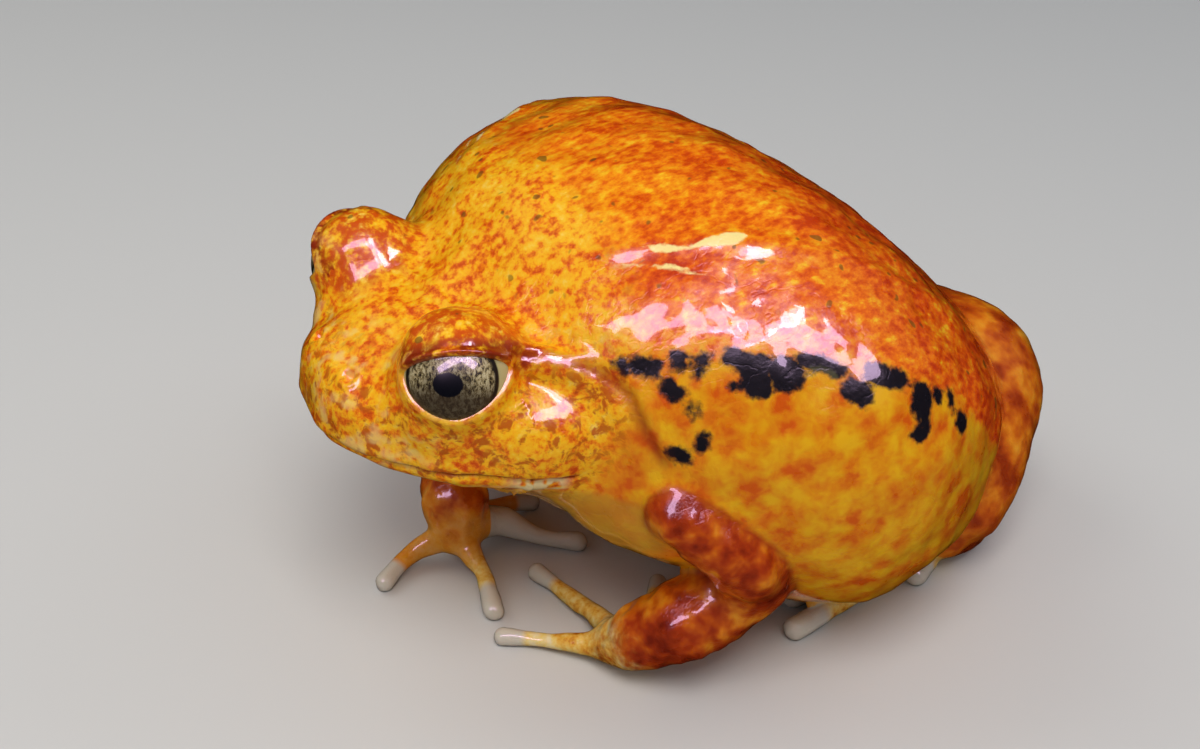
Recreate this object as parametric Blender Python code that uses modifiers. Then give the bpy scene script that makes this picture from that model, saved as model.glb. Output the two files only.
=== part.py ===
# A tomato frog, life size, crouched with its body blown up, as one still model.
# Lengths are metres with +Z up. The snout points to -Y and the frog's left side is at +X.
import math

import bmesh
import bpy
import numpy as np
from mathutils import Matrix, Vector

# Driving dimensions. The tables below are drawn in millimetres for a frog of 90 mm.
SNOUT_VENT = 0.090
MM = SNOUT_VENT / 90
GAP = 0.3 * MM
REACH = 150 * MM

# Sections of the trunk and head: y, half width, height of the middle, rise above it, drop below it.
# The powers say how square the sections are above and below the middle.
TRUNK = (
    (-33, 0, 31, 0, 0),
    (-29, 16, 31, 13.2, 10),
    (-22, 28, 30, 21, 15),
    (-12, 36.5, 29, 25, 22),
    (0, 41.5, 28, 26.3, 28.3),
    (11, 39.8, 26, 22.8, 26.5),
    (22, 33.5, 23.2, 16.4, 21.2),
    (33, 20.5, 19, 9.4, 14.5),
    (42, 0, 14, 0, 0),
)
HEAD = (
    (-47, 0, 31.5, 0, 0),
    (-46, 6, 31.5, 4.5, 2.6),
    (-43, 11, 31.5, 7, 4),
    (-38, 16, 31, 10, 5.8),
    (-32, 19, 30.5, 12, 7.5),
    (-25, 21, 30, 14, 9),
    (-15, 22, 29, 16, 10),
    (-5, 0, 28, 0, 0),
)
TRUNK_POWERS = (2.1, 2.6)
HEAD_POWERS = (2.2, 2.2)

# The head is turned a little to its right and rolled about the neck.
NECK = (0, -20, 30)
HEAD_YAW = math.radians(-5)
HEAD_ROLL = math.radians(2)
NECK_CUT = (0, -24.5, 32)
NECK_NORMAL = (0, 0.966, 0.26)

# Face, in the head's own frame before it is turned.
EYE = (13, -35.4, 40)
EYE_RADIUS = 5.2
EYE_AXIS = (0.80, -0.46, 0.38)
CORNEA_RADIUS = 4.3
CORNEA_STEP = 1.5
MOUND_RADII = (6.3, 6.6, 6.1)
OPENING = (4.9, 3.3)
RIM_RADIUS = 0.75
NOSTRIL = (5, -43.4, 37)
NOSTRIL_RADII = (0.6, 0.9, 0.8)
MOUTH_FRONT = (0, -47, 29.8)
MOUTH_BACK = (0, -26.5, 30.4)
MOUTH_GROOVE = 0.6
MOUTH_DEPTH = 1.5
LIP_HEIGHT = 3.4
LIP_SWELL = 0.45

# Soft folds on the left side, each a row of x, y, z and radius.
EAR_FOLD = ((15, -31.5, 41.6, 1.3), (19.2, -25.5, 39, 1.6), (23, -22.4, 34.3, 1.9), (24.3, -20.3, 28, 2.2))
SHOULDER = ((19.5, -17.2, 23.5), (7.4, 7.4, 7))
HIP = ((10, 33, 17), (10, 8.5, 9))

# Limbs: rows of x, y, z and radius from the root outwards.
ARMS = {
    "left": {
        "upper": (
            (28.7, -21, 25.7, 3.1), (30.8, -18.2, 22.9, 3.6),
            (32.1, -14.6, 19.2, 4), (30.2, -11.4, 15.4, 4.1),
        ),
        "fore": (
            (29.9, -11.1, 14.7, 4.1), (28.8, -13.9, 12, 4.4),
            (26.7, -18.5, 9.1, 4.35), (23.6, -20.8, 6.1, 3.6),
        ),
        "palm": ((23.6, -20.8, 6, 3.5), (21.5, -22.1, 4.3, 3.1), (19.7, -22.7, 3.2, 2.5)),
        "fingers": (
            ((19.9, -23, 3, 1.9), (18, -24.4, 2.3, 1.4), (13.4, -28, 1.3, 0.95), (9.7, -31.5, 1, 1.15)),
            ((19.5, -22.2, 3, 1.9), (15.6, -21.2, 2.3, 1.4), (8.5, -21.3, 1.3, 0.95), (2, -21.9, 1, 1.15)),
            ((20.6, -21.3, 3, 1.9), (17.2, -15.8, 1.7, 1.05), (12, -10.8, 1, 1.15)),
            ((21.3, -20.6, 3.2, 1.9), (20.8, -13.8, 1.8, 1.05), (17.8, -8.8, 1, 1.15)),
        ),
    },
    "right": {
        "upper": ((-21, -19, 22, 5.4), (-25.5, -18.5, 18.5, 5.4), (-27, -18, 14.5, 5)),
        "fore": (
            (-26.5, -18.5, 13.2, 4.9), (-20, -22, 11.6, 4.8),
            (-13.2, -25.2, 10.2, 4.1), (-8.6, -27.1, 8.2, 3.6),
        ),
        "palm": ((-8.6, -27.1, 8.1, 3.5), (-7.4, -27.9, 5.8, 3.1), (-7.2, -27.6, 4.2, 2.6)),
        "fingers": (
            ((-7.6, -28.2, 4.2, 2.2), (-8.3, -30.2, 3.2, 1.6), (-9, -33.8, 1.8, 1.2), (-7.1, -38.3, 1, 1.3)),
            ((-6.6, -27.8, 4.2, 2.2), (-4.8, -27.8, 3.2, 1.6), (-0.6, -28.1, 1.8, 1.2), (5.1, -30, 1, 1.25)),
            ((-7.2, -26, 4.4, 2.3), (-6.9, -22, 3.4, 1.8), (-3.4, -18.7, 1.9, 1.2), (-0.4, -14.5, 1.1, 1.25)),
            ((-8, -26.4, 4.4, 2.2), (-11.4, -20.8, 2.4, 1.2), (-11, -14.8, 1.1, 1.25)),
        ),
    },
}
THIGH = ((9, 34, 17.4, 9.2), (17.7, 33.3, 18.5, 9.2), (24.1, 28, 14.4, 7.8), (27.4, 23.4, 9.4, 6.2))
SHANK = ((27.6, 21.2, 5.7, 4.2), (26.8, 25.6, 4.4, 3.9), (22.6, 32.4, 3.6, 3.4), (17.6, 36.4, 3.3, 3.2))
SOLE = ((17.2, 36.2, 3.2, 3.1), (19.7, 30.4, 2.9, 2.9), (22.5, 24, 2.5, 2.9))
TOES = (
    ((21.3, 24.8, 2.2, 2), (19.5, 19, 1.5, 1.15), (16.8, 14, 1.05, 1.2)),
    ((22, 24, 2.3, 2.1), (21, 14, 1.6, 1.25), (19.4, 6.5, 1.1, 1.25)),
    ((22.8, 23.5, 2.3, 2.2), (24.2, 12, 1.6, 1.3), (23.6, 1, 1.15, 1.3)),
    ((23.6, 24, 2.3, 2.2), (27, 10, 1.6, 1.35), (28.2, -2.7, 1.2, 1.35)),
    ((23.2, 25.2, 2.3, 2.1), (26.6, 22.2, 1.6, 1.35), (29, 16.2, 1.15, 1.3)),
)

# Triangles left in each kind of piece once it has been softened.
TRIANGLES = {
    "body": 3900,
    "arm": 520,
    "hand": 740,
    "thigh": 320,
    "shank": 240,
    "foot": 820,
}

# Colour (linear) and roughness of each kind of piece.
LOOKS = {
    "torso": ((0.62, 0.13, 0.01), 0.25),
    "head": ((0.75, 0.30, 0.02), 0.25),
    "eye": ((0.10, 0.09, 0.06), 0.05),
    "limb": ((0.45, 0.06, 0.01), 0.22),
    "hand": ((0.62, 0.36, 0.16), 0.3),
}


def clear_scene():
    for thing in list(bpy.data.objects):
        bpy.data.objects.remove(thing, do_unlink=True)


def collection(name):
    group = bpy.data.collections.new(name)
    bpy.context.scene.collection.children.link(group)
    return group


def material(name, colour, roughness):
    made = bpy.data.materials.new(name)
    made.use_nodes = True
    shader = made.node_tree.nodes["Principled BSDF"]
    shader.inputs["Base Color"].default_value = (*colour, 1)
    shader.inputs["Roughness"].default_value = roughness
    made.diffuse_color = (*colour, 1)
    return made


def add(name, mesh):
    made = bpy.data.objects.new(name, mesh)
    workshop.objects.link(made)
    return made


def drop(pieces):
    for piece in pieces:
        bpy.data.objects.remove(piece, do_unlink=True)


def curve_through(places, knots, values):
    """A smooth run through the values at the knots, by cubic Hermite pieces."""
    knots = np.asarray(knots, float)
    values = np.asarray(values, float)
    slope = np.gradient(values, knots)
    at = np.clip(np.searchsorted(knots, places) - 1, 0, len(knots) - 2)
    step = knots[at + 1] - knots[at]
    t = (places - knots[at]) / step
    return (
        (2 * t**3 - 3 * t**2 + 1) * values[at]
        + (t**3 - 2 * t**2 + t) * step * slope[at]
        + (3 * t**2 - 2 * t**3) * values[at + 1]
        + (t**3 - t**2) * step * slope[at + 1]
    )


def loft(name, sections, powers, swell=0, rings=40, around=48):
    """A closed body through superellipse sections, whose squared radii run smoothly along y."""
    y, width, middle, rise, lower = np.array(sections, float).T
    along = y[0] + (y[-1] - y[0]) * (1 - np.cos(np.linspace(0, math.pi, rings))) / 2
    wide, up, down = (
        np.sqrt(np.clip(curve_through(along, y, size**2), 0, None)) for size in (width, rise, lower)
    )
    turn = np.linspace(0, 2 * math.pi, around, endpoint=False)
    power = np.where(np.sin(turn) > 0, *powers)
    across = np.sign(np.cos(turn)) * abs(np.cos(turn)) ** (2 / power)
    height = np.sign(np.sin(turn)) * abs(np.sin(turn)) ** (2 / power)
    points = np.empty((rings, around, 3))
    points[..., 0] = (wide + swell * (wide > 0))[:, None] * across
    points[..., 1] = along[:, None]
    tall = np.where(height > 0, up[:, None], down[:, None]) + swell * (wide[:, None] > 0)
    points[..., 2] = curve_through(along, y, middle)[:, None] + tall * height
    index = np.arange(rings * around).reshape(rings, around)
    here, ahead = index[:-1], index[1:]
    faces = np.stack([here, np.roll(here, -1, 1), np.roll(ahead, -1, 1), ahead], -1).reshape(-1, 4)
    mesh = bpy.data.meshes.new(name)
    mesh.from_pydata((points.reshape(-1, 3) * MM).tolist(), [], faces.tolist())
    return add(name, welded(mesh))


def welded(mesh):
    """The mesh with its doubled points merged and its faces turned outwards."""
    work = bmesh.new()
    work.from_mesh(mesh)
    bmesh.ops.remove_doubles(work, verts=work.verts, dist=0.002 * MM)
    bmesh.ops.dissolve_degenerate(work, edges=work.edges, dist=0.0005 * MM)
    bmesh.ops.recalc_face_normals(work, faces=work.faces)
    work.to_mesh(mesh)
    work.free()
    return mesh


def ball(name, centre, radii, turn=None, segments=20, rings=12):
    mesh = bpy.data.meshes.new(name)
    work = bmesh.new()
    bmesh.ops.create_uvsphere(work, u_segments=segments, v_segments=rings, radius=1)
    place = Matrix.Translation(Vector(centre) * MM) @ (turn or Matrix.Identity(4))
    place = place @ Matrix.Diagonal((*(Vector(radii) * MM), 1))
    bmesh.ops.transform(work, matrix=place, verts=work.verts)
    work.to_mesh(mesh)
    work.free()
    return add(name, mesh)


def block(name, point, normal):
    """A big box that fills the side of a plane to which the normal points."""
    mesh = bpy.data.meshes.new(name)
    work = bmesh.new()
    bmesh.ops.create_cube(work, size=1)
    turn = Vector(normal).to_track_quat("Z", "Y").to_matrix().to_4x4()
    place = Matrix.Translation(point) @ turn @ Matrix.Diagonal((REACH, REACH, REACH, 1))
    bmesh.ops.transform(work, matrix=place @ Matrix.Translation((0, 0, 0.5)), verts=work.verts)
    work.to_mesh(mesh)
    work.free()
    return add(name, mesh)


def tube(name, joints, cyclic=False, sides=3):
    """A limb or fold: a curve with a bevel, thick as its joints say, and a ball at each open end."""
    joints = np.array(joints, float)
    shape = bpy.data.curves.new(name, "CURVE")
    shape.dimensions = "3D"
    shape.bevel_depth = MM
    shape.bevel_resolution = sides
    shape.use_fill_caps = True
    spline = shape.splines.new("POLY")
    if cyclic:
        rows = joints
        spline.use_cyclic_u = True
    else:
        knots = np.arange(len(joints))
        places = np.linspace(0, len(joints) - 1, 5 * len(joints))
        rows = np.stack([curve_through(places, knots, column) for column in joints.T], 1)
    spline.points.add(len(rows) - 1)
    for spot, (x, y, z, radius) in zip(spline.points, rows):
        spot.co = (x * MM, y * MM, z * MM, 1)
        spot.radius = radius
    guide = add(name, shape)
    graph = bpy.context.evaluated_depsgraph_get()
    mesh = bpy.data.meshes.new_from_object(guide.evaluated_get(graph))
    drop([guide])
    pieces = [add(name, welded(mesh))]
    if not cyclic:
        for x, y, z, radius in joints[[0, -1]]:
            pieces.append(ball(name + "_end", (x, y, z), (radius, radius, radius)))
    return pieces


def apply_modifiers(piece):
    graph = bpy.context.evaluated_depsgraph_get()
    mesh = bpy.data.meshes.new_from_object(piece.evaluated_get(graph))
    piece.modifiers.clear()
    piece.data = mesh


def boolean(piece, operation, other, solver="EXACT"):
    """Joins, cuts or keeps a piece by another object, or by all the objects of a collection."""
    step = piece.modifiers.new(operation.lower(), "BOOLEAN")
    step.operation = operation
    step.solver = solver
    if isinstance(other, bpy.types.Collection):
        step.operand_type = "COLLECTION"
        step.collection = other
    else:
        step.object = other
    apply_modifiers(piece)


def fuse(name, pieces):
    """One closed body from overlapping ones."""
    group = bpy.data.collections.new(name + "_pieces")
    for piece in pieces[1:]:
        group.objects.link(piece)
    made = pieces[0]
    made.name = name
    boolean(made, "UNION", group)
    drop(pieces[1:])
    bpy.data.collections.remove(group)
    largest_surface(made)
    return made


def largest_surface(piece):
    """Keeps only the largest closed surface, without a sealed hollow or a loose scrap."""
    work = bmesh.new()
    work.from_mesh(piece.data)
    bmesh.ops.remove_doubles(work, verts=work.verts, dist=0.0005 * MM)
    bmesh.ops.triangulate(work, faces=work.faces)
    left = set(work.verts)
    best, best_volume = set(), 0
    while left:
        edge_of = [left.pop()]
        island = set(edge_of)
        while edge_of:
            for edge in edge_of.pop().link_edges:
                for vert in edge.verts:
                    if vert not in island:
                        island.add(vert)
                        edge_of.append(vert)
        left -= island
        faces = {face for vert in island for face in vert.link_faces}
        corners = [[vert.co for vert in face.verts] for face in faces]
        volume = abs(sum(a.dot(b.cross(c)) for a, b, c in corners))
        if volume > best_volume:
            best, best_volume = island, volume
    bmesh.ops.delete(work, geom=[vert for vert in work.verts if vert not in best], context="VERTS")
    work.to_mesh(piece.data)
    work.free()


def soften(piece, grain, rounds, triangles):
    """Melts the creases of a fused piece, then thins its faces to about the given number."""
    melt = piece.modifiers.new("melt", "REMESH")
    melt.mode = "VOXEL"
    melt.voxel_size = grain * MM
    ease = piece.modifiers.new("ease", "SMOOTH")
    ease.factor = 0.5
    ease.iterations = rounds
    apply_modifiers(piece)
    count = sum(len(face.vertices) - 2 for face in piece.data.polygons)
    thin = piece.modifiers.new("thin", "DECIMATE")
    thin.ratio = min(1, triangles / count)
    apply_modifiers(piece)
    largest_surface(piece)


def cut(piece, other, solver="EXACT"):
    boolean(piece, "DIFFERENCE", other, solver)
    largest_surface(piece)


def swollen(piece):
    """A copy that stands proud of the piece by the gap all over."""
    copy = add(piece.name + "_swollen", piece.data.copy())
    copy.matrix_world = piece.matrix_world
    grow = copy.modifiers.new("grow", "DISPLACE")
    grow.strength = 1.1 * GAP
    grow.mid_level = 0
    apply_modifiers(copy)
    return copy


def part_at(piece, far_name, point, normal):
    """Parts a piece by a thin flat cut; the side that the normal points to becomes the far piece."""
    point, normal = Vector(point) * MM, Vector(normal).normalized()
    far = add(far_name, piece.data.copy())
    ahead = block("ahead", point - normal * GAP / 2, normal)
    behind = block("behind", point + normal * GAP / 2, -normal)
    cut(piece, ahead)
    cut(far, behind)
    drop([ahead, behind])
    return far


def stand(piece):
    """Trims a piece flat where it meets the floor."""
    cut(piece, floor)


def mirrored(rows, side):
    return [(side * x, *rest) for x, *rest in rows]


def head_turn():
    neck = Matrix.Translation(Vector(NECK) * MM)
    spin = Matrix.Rotation(HEAD_YAW, 4, "Z") @ Matrix.Rotation(HEAD_ROLL, 4, "Y")
    return neck @ spin @ neck.inverted()


def turned(pieces):
    for piece in pieces:
        piece.data.transform(head_turn())
    return pieces


def eye_frame(side):
    """The eye's centre, with its axis, its way across and its way up as the columns of a turn."""
    axis = Vector((side * EYE_AXIS[0], *EYE_AXIS[1:])).normalized()
    across = Vector((0, 0, 1)).cross(axis).normalized()
    upward = axis.cross(across)
    turn = Matrix((across, upward, axis)).transposed().to_4x4()
    return Vector((side * EYE[0], *EYE[1:])), turn


def eyeball(side, swell=0.0):
    """A ball with a slightly steeper cornea on its outer side."""
    centre, turn = eye_frame(side)
    big = EYE_RADIUS + swell
    small = CORNEA_RADIUS + swell
    front = centre + turn.to_3x3().col[2] * CORNEA_STEP
    pieces = [
        ball("eye", centre, (big,) * 3, turn, 18, 10),
        ball("cornea", front, (small,) * 3, turn, 18, 10),
    ]
    return fuse("eyeball", turned(pieces))


def eye_opening(side):
    """What opens the lids: an oval rod along the eye's axis, from the middle of the eye outwards."""
    centre, turn = eye_frame(side)
    mesh = bpy.data.meshes.new("opening")
    work = bmesh.new()
    bmesh.ops.create_cone(work, cap_ends=True, segments=32, radius1=1, radius2=1.15, depth=2)
    size = Matrix.Diagonal((OPENING[0] * MM, OPENING[1] * MM, EYE_RADIUS * MM, 1))
    place = Matrix.Translation(centre * MM) @ turn @ size @ Matrix.Translation((0, 0, 1.2))
    bmesh.ops.transform(work, matrix=place, verts=work.verts)
    work.to_mesh(mesh)
    work.free()
    return turned([add("opening", mesh)])[0]


def lid_rims(side):
    """A thick edge round the opening of the lids, which lies on the eyeball."""
    centre, turn = eye_frame(side)
    reach = EYE_RADIUS + GAP / MM + 0.35 * RIM_RADIUS
    angle = np.linspace(0, 2 * math.pi, 24, endpoint=False)
    across = (OPENING[0] + 0.5 * RIM_RADIUS) * np.cos(angle)
    upward = (OPENING[1] + 0.5 * RIM_RADIUS) * np.sin(angle)
    out = np.sqrt(reach**2 - across**2 - upward**2)
    spots = np.stack([across, upward, out], 1) @ np.array(turn.to_3x3()).T + np.array(centre)
    thick = RIM_RADIUS * (1 + 0.35 * np.sin(angle))
    return turned(tube("lid_rim", np.column_stack([spots, thick]), cyclic=True, sides=2))


def mouth_band(name, height, swell):
    """The part of a swollen head that lies within half the height of the mouth's plane."""
    front, back = Vector(MOUTH_FRONT), Vector(MOUTH_BACK)
    rake = math.atan2(back.z - front.z, back.y - front.y)
    length = (back - front).length + 10
    mesh = bpy.data.meshes.new(name)
    work = bmesh.new()
    bmesh.ops.create_cube(work, size=1)
    size = Matrix.Diagonal((REACH, length * MM, height * MM, 1))
    middle = back - (back - front).normalized() * length / 2
    place = Matrix.Translation(middle * MM) @ Matrix.Rotation(rake, 4, "X") @ size
    bmesh.ops.transform(work, matrix=place, verts=work.verts)
    work.to_mesh(mesh)
    work.free()
    band = add(name, mesh)
    form = loft("form", HEAD, HEAD_POWERS, swell, 22, 30)
    boolean(band, "INTERSECT", form)
    drop([form])
    return band


def mouth_blade():
    """The groove between the lips, open at the surface and a little way deep."""
    blade = mouth_band("mouth", MOUTH_GROOVE, 3)
    core = loft("core", HEAD, HEAD_POWERS, LIP_SWELL - MOUTH_DEPTH, 22, 30)
    boolean(blade, "DIFFERENCE", core)
    drop([core])
    return turned([blade])[0]


def body_core():
    """Trunk and head as one soft form, with the lips, eye mounds, ear folds, shoulders and hips."""
    pieces = [loft("trunk", TRUNK, TRUNK_POWERS)]
    pieces += turned([loft("skull", HEAD, HEAD_POWERS), mouth_band("lips", LIP_HEIGHT, LIP_SWELL)])
    for side in (1, -1):
        centre, turn = eye_frame(side)
        pieces += turned([ball("mound", centre, MOUND_RADII, turn)])
        pieces += tube("ear_fold", mirrored(EAR_FOLD, side))
        for (x, y, z), radii in (SHOULDER, HIP):
            pieces.append(ball("muscle", (side * x, y, z), radii))
    core = fuse("torso", pieces)
    soften(core, 0.7, 3, TRIANGLES["body"])
    return core


def finish_head(head):
    """Adds the lid rims, then cuts the eye sockets, the nostrils and the mouth."""
    rims = [rim for side in (1, -1) for rim in lid_rims(side)]
    fuse("head", [head, *rims])
    for side in (1, -1):
        socket = eyeball(side, GAP / MM)
        opening = eye_opening(side)
        x, y, z = NOSTRIL
        pit = turned([ball("pit", (side * x, y, z), NOSTRIL_RADII, segments=12, rings=8)])[0]
        for cutter in (socket, opening, pit):
            cut(head, cutter)
        drop([socket, opening, pit])
    blade = mouth_blade()
    cut(head, blade)
    drop([blade])


def arm(side_name):
    """Upper arm, forearm and hand of one side, parted at the elbow and the wrist."""
    rows = ARMS[side_name]
    upper = fuse("upper_arm_" + side_name, tube("upper", rows["upper"]) + tube("fore", rows["fore"]))
    soften(upper, 0.5, 4, TRIANGLES["arm"])
    elbow = (Vector(rows["upper"][-1][:3]) + Vector(rows["fore"][0][:3])) / 2
    inward = Vector(rows["upper"][-2][:3]) - elbow
    outward = Vector(rows["fore"][1][:3]) - elbow
    forearm = part_at(upper, "forearm_" + side_name, elbow, outward.normalized() - inward.normalized())
    pieces = tube("palm", rows["palm"])
    for finger in rows["fingers"]:
        pieces += tube("finger", finger)
    hand = fuse("hand_" + side_name, pieces)
    soften(hand, 0.4, 2, TRIANGLES["hand"])
    wrist, knuckle = Vector(rows["palm"][0][:3]), Vector(rows["palm"][1][:3])
    along = (knuckle - wrist).normalized()
    for piece, way in ((hand, -1), (forearm, 1)):
        trim = block("trim", wrist * MM - along * way * GAP / 2, along * way)
        cut(piece, trim)
        drop([trim])
    return [upper, forearm, hand]


def leg(side_name, side):
    """Thigh, shank and foot of one side; the shank lies folded under the thigh."""
    thigh = fuse("thigh_" + side_name, tube("thigh", mirrored(THIGH, side)))
    soften(thigh, 0.6, 3, TRIANGLES["thigh"])
    shank = fuse("shank_" + side_name, tube("shank", mirrored(SHANK, side)))
    soften(shank, 0.5, 3, TRIANGLES["shank"])
    pieces = tube("sole", mirrored(SOLE, side))
    for toe in TOES:
        pieces += tube("toe", mirrored(toe, side))
    foot = fuse("foot_" + side_name, pieces)
    soften(foot, 0.4, 2, TRIANGLES["foot"])
    for piece, neighbours in ((thigh, [foot]), (shank, [thigh, foot])):
        for neighbour in neighbours:
            clear_of(piece, neighbour)
    return [thigh, shank, foot]


def clear_of(piece, neighbour):
    """Cuts a piece back to the gap from its neighbour; the exact solver fails on these close forms."""
    mould = swollen(neighbour)
    cut(piece, mould, "MANIFOLD")
    drop([mould])


def settle(piece, group, looks):
    """Files a finished piece, with its own material and its origin at the middle of its box."""
    corners = [Vector(corner) for corner in piece.bound_box]
    middle = (corners[0] + corners[6]) / 2
    piece.data.transform(Matrix.Translation(-middle))
    piece.location = middle
    piece.parent = base
    piece.data.name = piece.name
    piece.data.materials.clear()
    colour, roughness = LOOKS[looks]
    piece.data.materials.append(material(piece.name, colour, roughness))
    piece.data.shade_smooth()
    piece.data.set_sharp_from_angle(angle=math.radians(40))
    workshop.objects.unlink(piece)
    group.objects.link(piece)


clear_scene()
frog = collection("tomato_frog")
cutters = collection("cutters")
workshop = collection("workshop")
base = bpy.data.objects.new("tomato_frog", None)
frog.objects.link(base)
floor = block("floor", (0, 0, 0), (0, 0, -1))

torso = body_core()
head = part_at(torso, "head", NECK_CUT, -Vector(NECK_NORMAL))
finish_head(head)
stand(torso)
finished = [(torso, "torso"), (head, "head")]
for side_name, side in (("left", 1), ("right", -1)):
    eye = eyeball(side)
    eye.name = "eye_" + side_name
    finished.append((eye, "eye"))
    limbs = arm(side_name) + leg(side_name, side)
    for limb in limbs:
        stand(limb)
    foot = limbs[-1]
    clear_of(torso, foot)
    for limb in limbs[:-1]:
        clear_of(limb, torso)
    for limb in limbs[:2]:
        clear_of(limb, head)
    finished += [(limb, "hand" if limb.name[:4] in ("hand", "foot") else "limb") for limb in limbs]

for piece, looks in finished:
    settle(piece, frog, looks)
workshop.objects.unlink(floor)
cutters.objects.link(floor)
floor.hide_render = True
floor.display_type = "WIRE"
bpy.data.collections.remove(workshop)

# The middle of the frog's box stands over the origin.
bpy.context.view_layer.update()
corners = [piece.matrix_world @ Vector(corner) for piece, _ in finished for corner in piece.bound_box]
low, high = np.min(corners, 0), np.max(corners, 0)
base.location = (-(low[0] + high[0]) / 2, -(low[1] + high[1]) / 2, -low[2])
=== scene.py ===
import math

import bmesh
import bpy
import numpy as np
from mathutils import Matrix, Vector


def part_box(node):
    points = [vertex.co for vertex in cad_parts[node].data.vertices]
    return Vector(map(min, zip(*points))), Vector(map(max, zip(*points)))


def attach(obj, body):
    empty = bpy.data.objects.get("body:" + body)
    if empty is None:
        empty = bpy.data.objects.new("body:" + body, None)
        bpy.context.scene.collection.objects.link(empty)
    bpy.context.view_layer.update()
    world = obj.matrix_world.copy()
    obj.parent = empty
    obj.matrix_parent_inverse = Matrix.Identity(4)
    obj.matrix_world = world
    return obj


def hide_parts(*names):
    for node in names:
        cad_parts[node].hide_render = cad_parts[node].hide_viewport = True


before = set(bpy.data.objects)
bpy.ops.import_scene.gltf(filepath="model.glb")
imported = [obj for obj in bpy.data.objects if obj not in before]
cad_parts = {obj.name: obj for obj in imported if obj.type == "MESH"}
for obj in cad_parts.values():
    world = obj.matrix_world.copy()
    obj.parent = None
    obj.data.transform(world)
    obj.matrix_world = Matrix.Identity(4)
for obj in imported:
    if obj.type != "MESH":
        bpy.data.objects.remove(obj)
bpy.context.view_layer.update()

# The frog's form in millimetres: the snout points to -Y, the frog's left is +X, the floor is z = 0.
# Body sections run along y: y, half width, height of the middle, rise above it, drop below it.
form = {
    "trunk": [
        (-33, 0, 31, 0, 0), (-29, 16, 31, 13.2, 10), (-22, 28, 30, 21, 15), (-12, 36.5, 29, 25, 22),
        (0, 41.5, 28, 26.3, 28.3), (11, 39.8, 26, 22.8, 26.5), (22, 33.5, 23.2, 16.4, 21.2),
        (33, 20.5, 19, 9.4, 14.5), (42, 0, 14, 0, 0),
    ],
    "trunkPowers": (2.1, 2.6),
    "head": [
        (-47, 0, 31.5, 0, 0), (-46, 6, 31.5, 4.5, 2.6), (-43, 11, 31.5, 7, 4), (-38, 16, 31, 10, 5.8),
        (-32, 19, 30.5, 12, 7.5), (-25, 21, 30, 14, 9), (-15, 22, 29, 16, 10), (-5, 0, 28, 0, 0),
    ],
    "headPowers": (2.2, 2.2),
    "neck": (0, -20, 30),
    "headYaw": -5,
    "headRoll": 2,
    "moundRadii": (6.3, 6.6, 6.1),
    "earFold": [
        (15, -31.5, 41.6, 1.3), (19.2, -25.5, 39, 1.6), (23, -22.4, 34.3, 1.9), (24.3, -20.3, 28, 2.2),
    ],
    "shoulder": ((19.5, -17.2, 23.5), (7.4, 7.4, 7)),
    "hip": ((10, 33, 17), (10, 8.5, 9)),
    "cheek": ((17.2, -28.2, 33.2), (4.4, 6.2, 4.6)),
    # How widely each part melts into the trunk.
    "blends": {"head": 4, "mound": 4, "earFold": 1.5, "joint": 5, "cheek": 3},
    "voxel": 0.78,
}

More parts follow.
